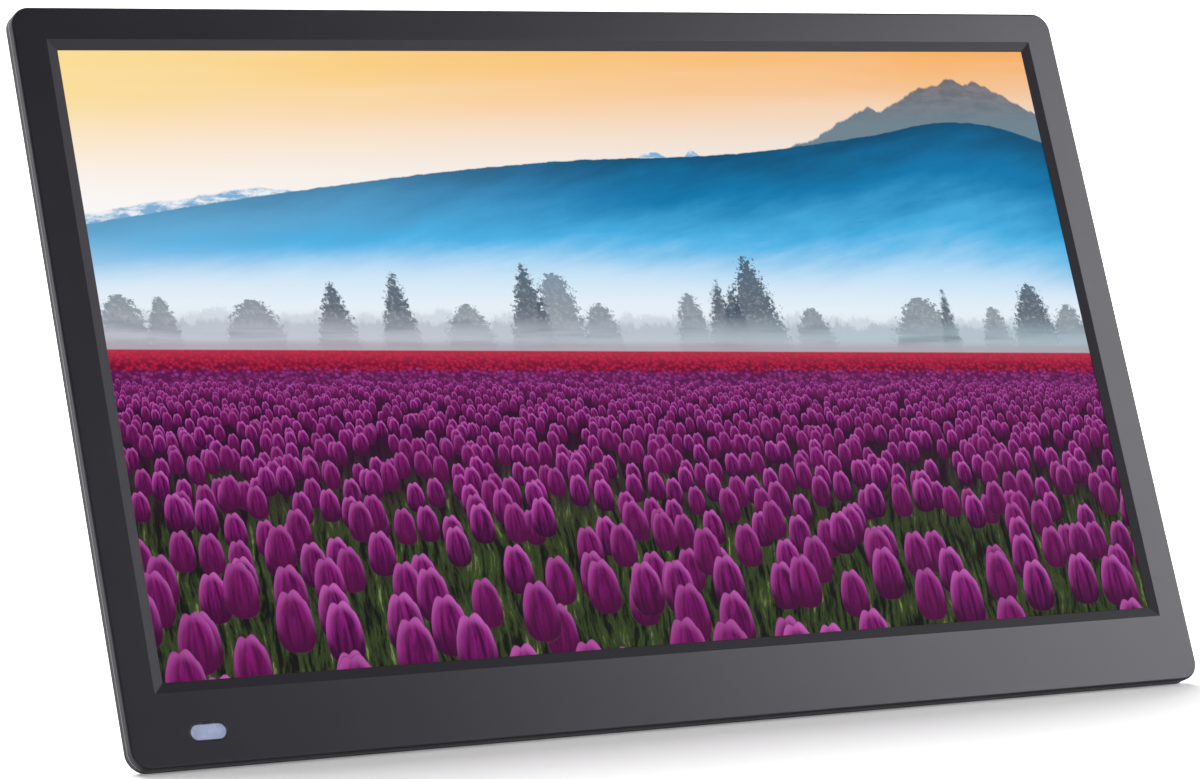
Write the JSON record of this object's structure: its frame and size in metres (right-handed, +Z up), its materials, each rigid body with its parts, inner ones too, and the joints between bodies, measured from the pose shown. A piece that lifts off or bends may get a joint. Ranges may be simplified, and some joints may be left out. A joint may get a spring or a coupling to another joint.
{
  "type": "digital photo frame",
  "caption": "Wide digital photo frame leaning back on a folding rear leg, with a slim dark bezel, deeper chin with an indicator window, rear keys, side sockets and wall fixings.",
  "frame": {"origin": "middle of the footprint, on the surface that the frame stands on", "axes": "+Z up, +X to the right of the picture, +Y towards the back; the picture faces -Y and leans back 22.3 degrees"},
  "size_m": [0.3706, 0.099, 0.2152],
  "materials": {
    "bezel_plastic": "satin moulded charcoal plastic",
    "window_lens": "smooth pale blue-white window",
    "circuit_board": "green solder mask",
    "screen": "anti-glare display glass showing a picture",
    "sheet_steel": "pressed sheet steel",
    "white_plastic": "moulded white plastic",
    "film": "diffusing film",
    "clear_acrylic": "polished clear acrylic",
    "led_strip": "white lamp strip",
    "aluminium_plate": "plain aluminium",
    "shell_plastic": "fine textured black plastic",
    "label": "printed silver label without text",
    "screw_steel": "blackened steel",
    "brass_insert": "turned brass",
    "chip_plastic": "black component plastic",
    "coin_steel": "plated steel can",
    "key_plastic": "smooth dark plastic",
    "speaker_frame": "black pressed steel",
    "magnet_steel": "zinc plated",
    "speaker_paper": "black pressed paper",
    "foam": "open foam",
    "cable": "flat and round insulated cable",
    "stand_plastic": "fine textured black plastic",
    "foot_rubber": "soft matt rubber"
  },
  "bodies": {
    "frame": {"front_bezel": "bezel_plastic", "sensor_window": "window_lens", "sensor_board": "circuit_board", "light_sensor": "chip_plastic", "lcd_front_frame": "sheet_steel", "lcd_panel": "screen", "lcd_mould_frame": "white_plastic", "optical_films": "film", "light_guide": "clear_acrylic", "backlight_led_bar": "led_strip", "reflector_sheet": "white_plastic", "lcd_rear_tray": "aluminium_plate", "panel_driver_board": "circuit_board", "panel_clips": "sheet_steel", "back_cover": "shell_plastic", "rating_label": "label", "cover_screws": "screw_steel", "wall_mount_strips": "sheet_steel", "main_board": "circuit_board", "board_chips": "chip_plastic", "heat_spreader": "aluminium_plate", "power_inductors": "chip_plastic", "capacitors": "aluminium_plate", "coin_cell_holder": "chip_plastic", "coin_cell": "coin_steel", "board_connectors": "white_plastic", "inner_screws": "screw_steel", "usb_socket_shell": "sheet_steel", "video_socket_shell": "sheet_steel", "socket_tongues": "chip_plastic", "card_socket": "sheet_steel", "earphone_jack": "chip_plastic", "dc_jack": "chip_plastic", "dc_jack_pin": "brass_insert", "power_switch_body": "chip_plastic", "key_board": "circuit_board", "key_switches": "chip_plastic", "speaker_baskets": "speaker_frame", "speaker_magnets": "magnet_steel", "speaker_cones": "speaker_paper", "speaker_gaskets": "foam", "display_cable": "cable", "key_ribbon": "cable", "backlight_cable": "cable", "speaker_wires": "cable", "sensor_wire": "cable", "stand_bracket": "sheet_steel", "stand_screws": "screw_steel", "stand_pin": "screw_steel", "stand_washers": "sheet_steel"},
    "stand": {"stand_leg": "stand_plastic", "stand_foot_pad": "foot_rubber"},
    "power_switch": {"power_switch_knob": "key_plastic"},
    "key_power": {"key_power": "key_plastic"},
    "key_menu": {"key_menu": "key_plastic"},
    "key_back": {"key_back": "key_plastic"},
    "key_previous": {"key_previous": "key_plastic"},
    "key_next": {"key_next": "key_plastic"},
    "key_play": {"key_play": "key_plastic"},
    "key_enter": {"key_enter": "key_plastic"}
  },
  "joints": [
    {"name": "stand_fold", "type": "hinge", "parent": "frame", "child": "stand", "pos_m": [0, 0.01602, 0.09934], "axis": [1, 0, 0], "range_deg": [-39.13, 0]},
    {"name": "power_switch_slide", "type": "slide", "parent": "frame", "child": "power_switch", "axis": [0, 0.3795, 0.9252], "range_m": [0, 0.002]},
    {"name": "key_power_press", "type": "slide", "parent": "frame", "child": "key_power", "axis": [0, -0.9252, 0.3795], "range_m": [0, 0.0004], "stiffness_N_per_m": 2500},
    {"name": "key_menu_press", "type": "slide", "parent": "frame", "child": "key_menu", "axis": [0, -0.9252, 0.3795], "range_m": [0, 0.0004], "stiffness_N_per_m": 2500},
    {"name": "key_back_press", "type": "slide", "parent": "frame", "child": "key_back", "axis": [0, -0.9252, 0.3795], "range_m": [0, 0.0004], "stiffness_N_per_m": 2500},
    {"name": "key_previous_press", "type": "slide", "parent": "frame", "child": "key_previous", "axis": [0, -0.9252, 0.3795], "range_m": [0, 0.0004], "stiffness_N_per_m": 2500},
    {"name": "key_next_press", "type": "slide", "parent": "frame", "child": "key_next", "axis": [0, -0.9252, 0.3795], "range_m": [0, 0.0004], "stiffness_N_per_m": 2500},
    {"name": "key_play_press", "type": "slide", "parent": "frame", "child": "key_play", "axis": [0, -0.9252, 0.3795], "range_m": [0, 0.0004], "stiffness_N_per_m": 2500},
    {"name": "key_enter_press", "type": "slide", "parent": "frame", "child": "key_enter", "axis": [0, -0.9252, 0.3795], "range_m": [0, 0.0004], "stiffness_N_per_m": 2500}
  ]
}
